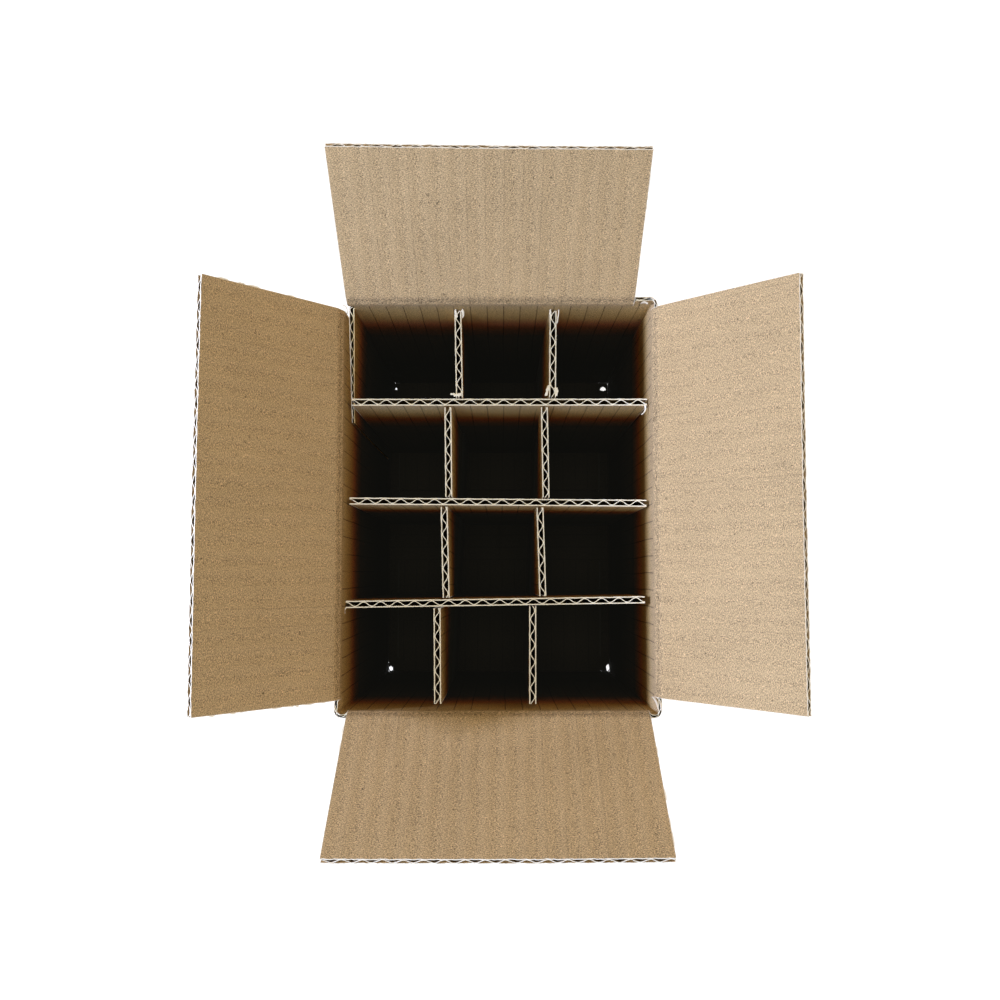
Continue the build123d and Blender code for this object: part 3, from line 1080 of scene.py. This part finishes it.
class BOX_OT_bottom_tape(bpy.types.Operator):
    """Gives the paper tape over the bottom seam its finish"""
    bl_idname = "shipping_box.bottom_tape"
    bl_label = "Bottom tape"

    def execute(self, context):
        colours = context.scene.box_colours
        look = Look("paper_tape")
        place = look.node("ShaderNodeTexCoord", output=3)
        fibres = look.noise(look.multiply(place, (1.0, 0.2, 1.0)), 900.0, 3.0, 0.6)
        cloud = look.noise(place, 60.0, 2.0)
        across = look.node("ShaderNodeSeparateXYZ", {}, {0: place})
        threads = (across * (2 * math.pi / THREAD_GAP)).cosine()
        tone = 1.0 + (fibres - 0.5) * 0.25 + (cloud - 0.5) * 0.15 - threads.ramp(0.93, 1.0) * 0.08
        relief = look.node("ShaderNodeBump", {}, {"Strength": 0.4, "Distance": 0.0001,
                                                  "Height": fibres + threads.ramp(0.9, 1.0)})
        material = look.surface(look.brighten(linear(colours.tape), tone), 0.45, relief,
                                Specular_IOR_Level=0.4)
        for slot in frame["nodes"]["bottom_tape"].material_slots:
            slot.material = material
        return {"FINISHED"}


# The studio

# The camera's place, its lens in millimetres, and how far it is pitched and rolled, in degrees
CAMERA_PLACE = (0.00163, -0.02682, 0.56366)
CAMERA_LENS = 37.7
CAMERA_PITCH = 4.157
CAMERA_ROLL = 0.12
FLOOR_REACH = 3.0
SKY_COLOUR = (1.0, 0.875, 0.66, 1.0)


class BOX_OT_studio(bpy.types.Operator):
    """Sets the camera, the pale floor and the soft lights"""
    bl_idname = "shipping_box.studio"
    bl_label = "Studio"

    def execute(self, context):
        settings = context.scene.box_studio
        camera = bpy.data.objects.new("camera", bpy.data.cameras.new("camera"))
        context.scene.collection.objects.link(camera)
        camera.data.sensor_width = 36.0
        camera.data.lens = CAMERA_LENS
        camera.data.clip_start = 0.01
        roll = Matrix.Rotation(math.radians(CAMERA_ROLL), 4, "Y")
        pitch = Matrix.Rotation(math.radians(CAMERA_PITCH), 4, "X")
        camera.matrix_world = Matrix.Translation(CAMERA_PLACE) @ roll @ pitch
        context.scene.camera = camera

        mesh = bpy.data.meshes.new("studio_floor")
        square = ((-1, -1), (1, -1), (1, 1), (-1, 1))
        mesh.from_pydata([(x * FLOOR_REACH, y * FLOOR_REACH, 0) for x, y in square], [], [(0, 1, 2, 3)])
        floor = bpy.data.objects.new("studio_floor", mesh)
        context.scene.collection.objects.link(floor)
        look = Look("studio_floor")
        mesh.materials.append(look.surface((0.35, 0.35, 0.35, 1.0), 0.9,
                                           Emission_Color=(1.0, 1.0, 1.0, 1.0),
                                           Emission_Strength=settings.floor))

        target = Vector((0, 0, rim_height("left")))
        lights = (("key_left", (-1.25, 0.05, 0.69), 0.10, settings.key, (0.85, 0.955, 1.27)),
                  ("fill_near", (-0.2, -1.3, 0.85), 0.8, settings.fill * 1.6, (0.74, 0.97, 1.43)),
                  ("fill_right", (1.3, 0.1, 0.80), 0.8, settings.fill * 0.64, (1.05, 0.80, 0.53)),
                  ("fill_far", (0.3, 1.3, 0.85), 0.8, settings.fill * 0.22, (1.1, 0.72, 0.34)),
                  ("overhead", (0.0, 0.0, 1.9), 0.5, settings.overhead, (1.07, 0.97, 0.68)))
        for name, place, size, power, colour in lights:
            data = bpy.data.lights.new(name, "AREA")
            data.size = size
            data.energy = power
            data.color = colour
            lamp = bpy.data.objects.new(name, data)
            context.scene.collection.objects.link(lamp)
            lamp.location = place
            lamp.rotation_euler = (target - Vector(place)).to_track_quat("-Z", "Y").to_euler()
        world = bpy.data.worlds.new("studio_sky")
        context.scene.world = world
        world.use_nodes = True
        sky = world.node_tree.nodes["Background"]
        sky.inputs["Color"].default_value = SKY_COLOUR
        sky.inputs["Strength"].default_value = settings.sky
        context.scene.view_settings.view_transform = "Standard"
        return {"FINISHED"}


class BOX_PT_panel(bpy.types.Panel):
    bl_label = "Shipping Box"
    bl_space_type = "VIEW_3D"
    bl_region_type = "UI"
    bl_category = "Shipping Box"

    def draw(self, context):
        for operator in OPERATORS:
            self.layout.operator(operator.bl_idname)
        for group in PROPERTIES:
            settings = getattr(context.scene, group)
            for name in settings.__annotations__:
                self.layout.prop(settings, name)


OPERATORS = (BOX_OT_studio, BOX_OT_carton, BOX_OT_top_flaps, BOX_OT_short_dividers,
             BOX_OT_long_dividers, BOX_OT_bottom_tape)
PROPERTIES = {"box_board": BoardSizes, "box_carton": CartonSizes, "box_colours": PaperColours,
              "box_studio": StudioSettings}


def register():
    for kind in (*PROPERTIES.values(), *OPERATORS, BOX_PT_panel):
        bpy.utils.register_class(kind)
    for name, kind in PROPERTIES.items():
        setattr(bpy.types.Scene, name, bpy.props.PointerProperty(type=kind))


def unregister():
    for name in PROPERTIES:
        delattr(bpy.types.Scene, name)
    for kind in reversed((*PROPERTIES.values(), *OPERATORS, BOX_PT_panel)):
        bpy.utils.unregister_class(kind)


def main():
    register()
    bpy.ops.shipping_box.studio()
    bpy.ops.shipping_box.carton()
    bpy.ops.shipping_box.top_flaps()
    bpy.ops.shipping_box.short_dividers()
    bpy.ops.shipping_box.long_dividers()
    bpy.ops.shipping_box.bottom_tape()


if __name__ == "__main__":
    main()
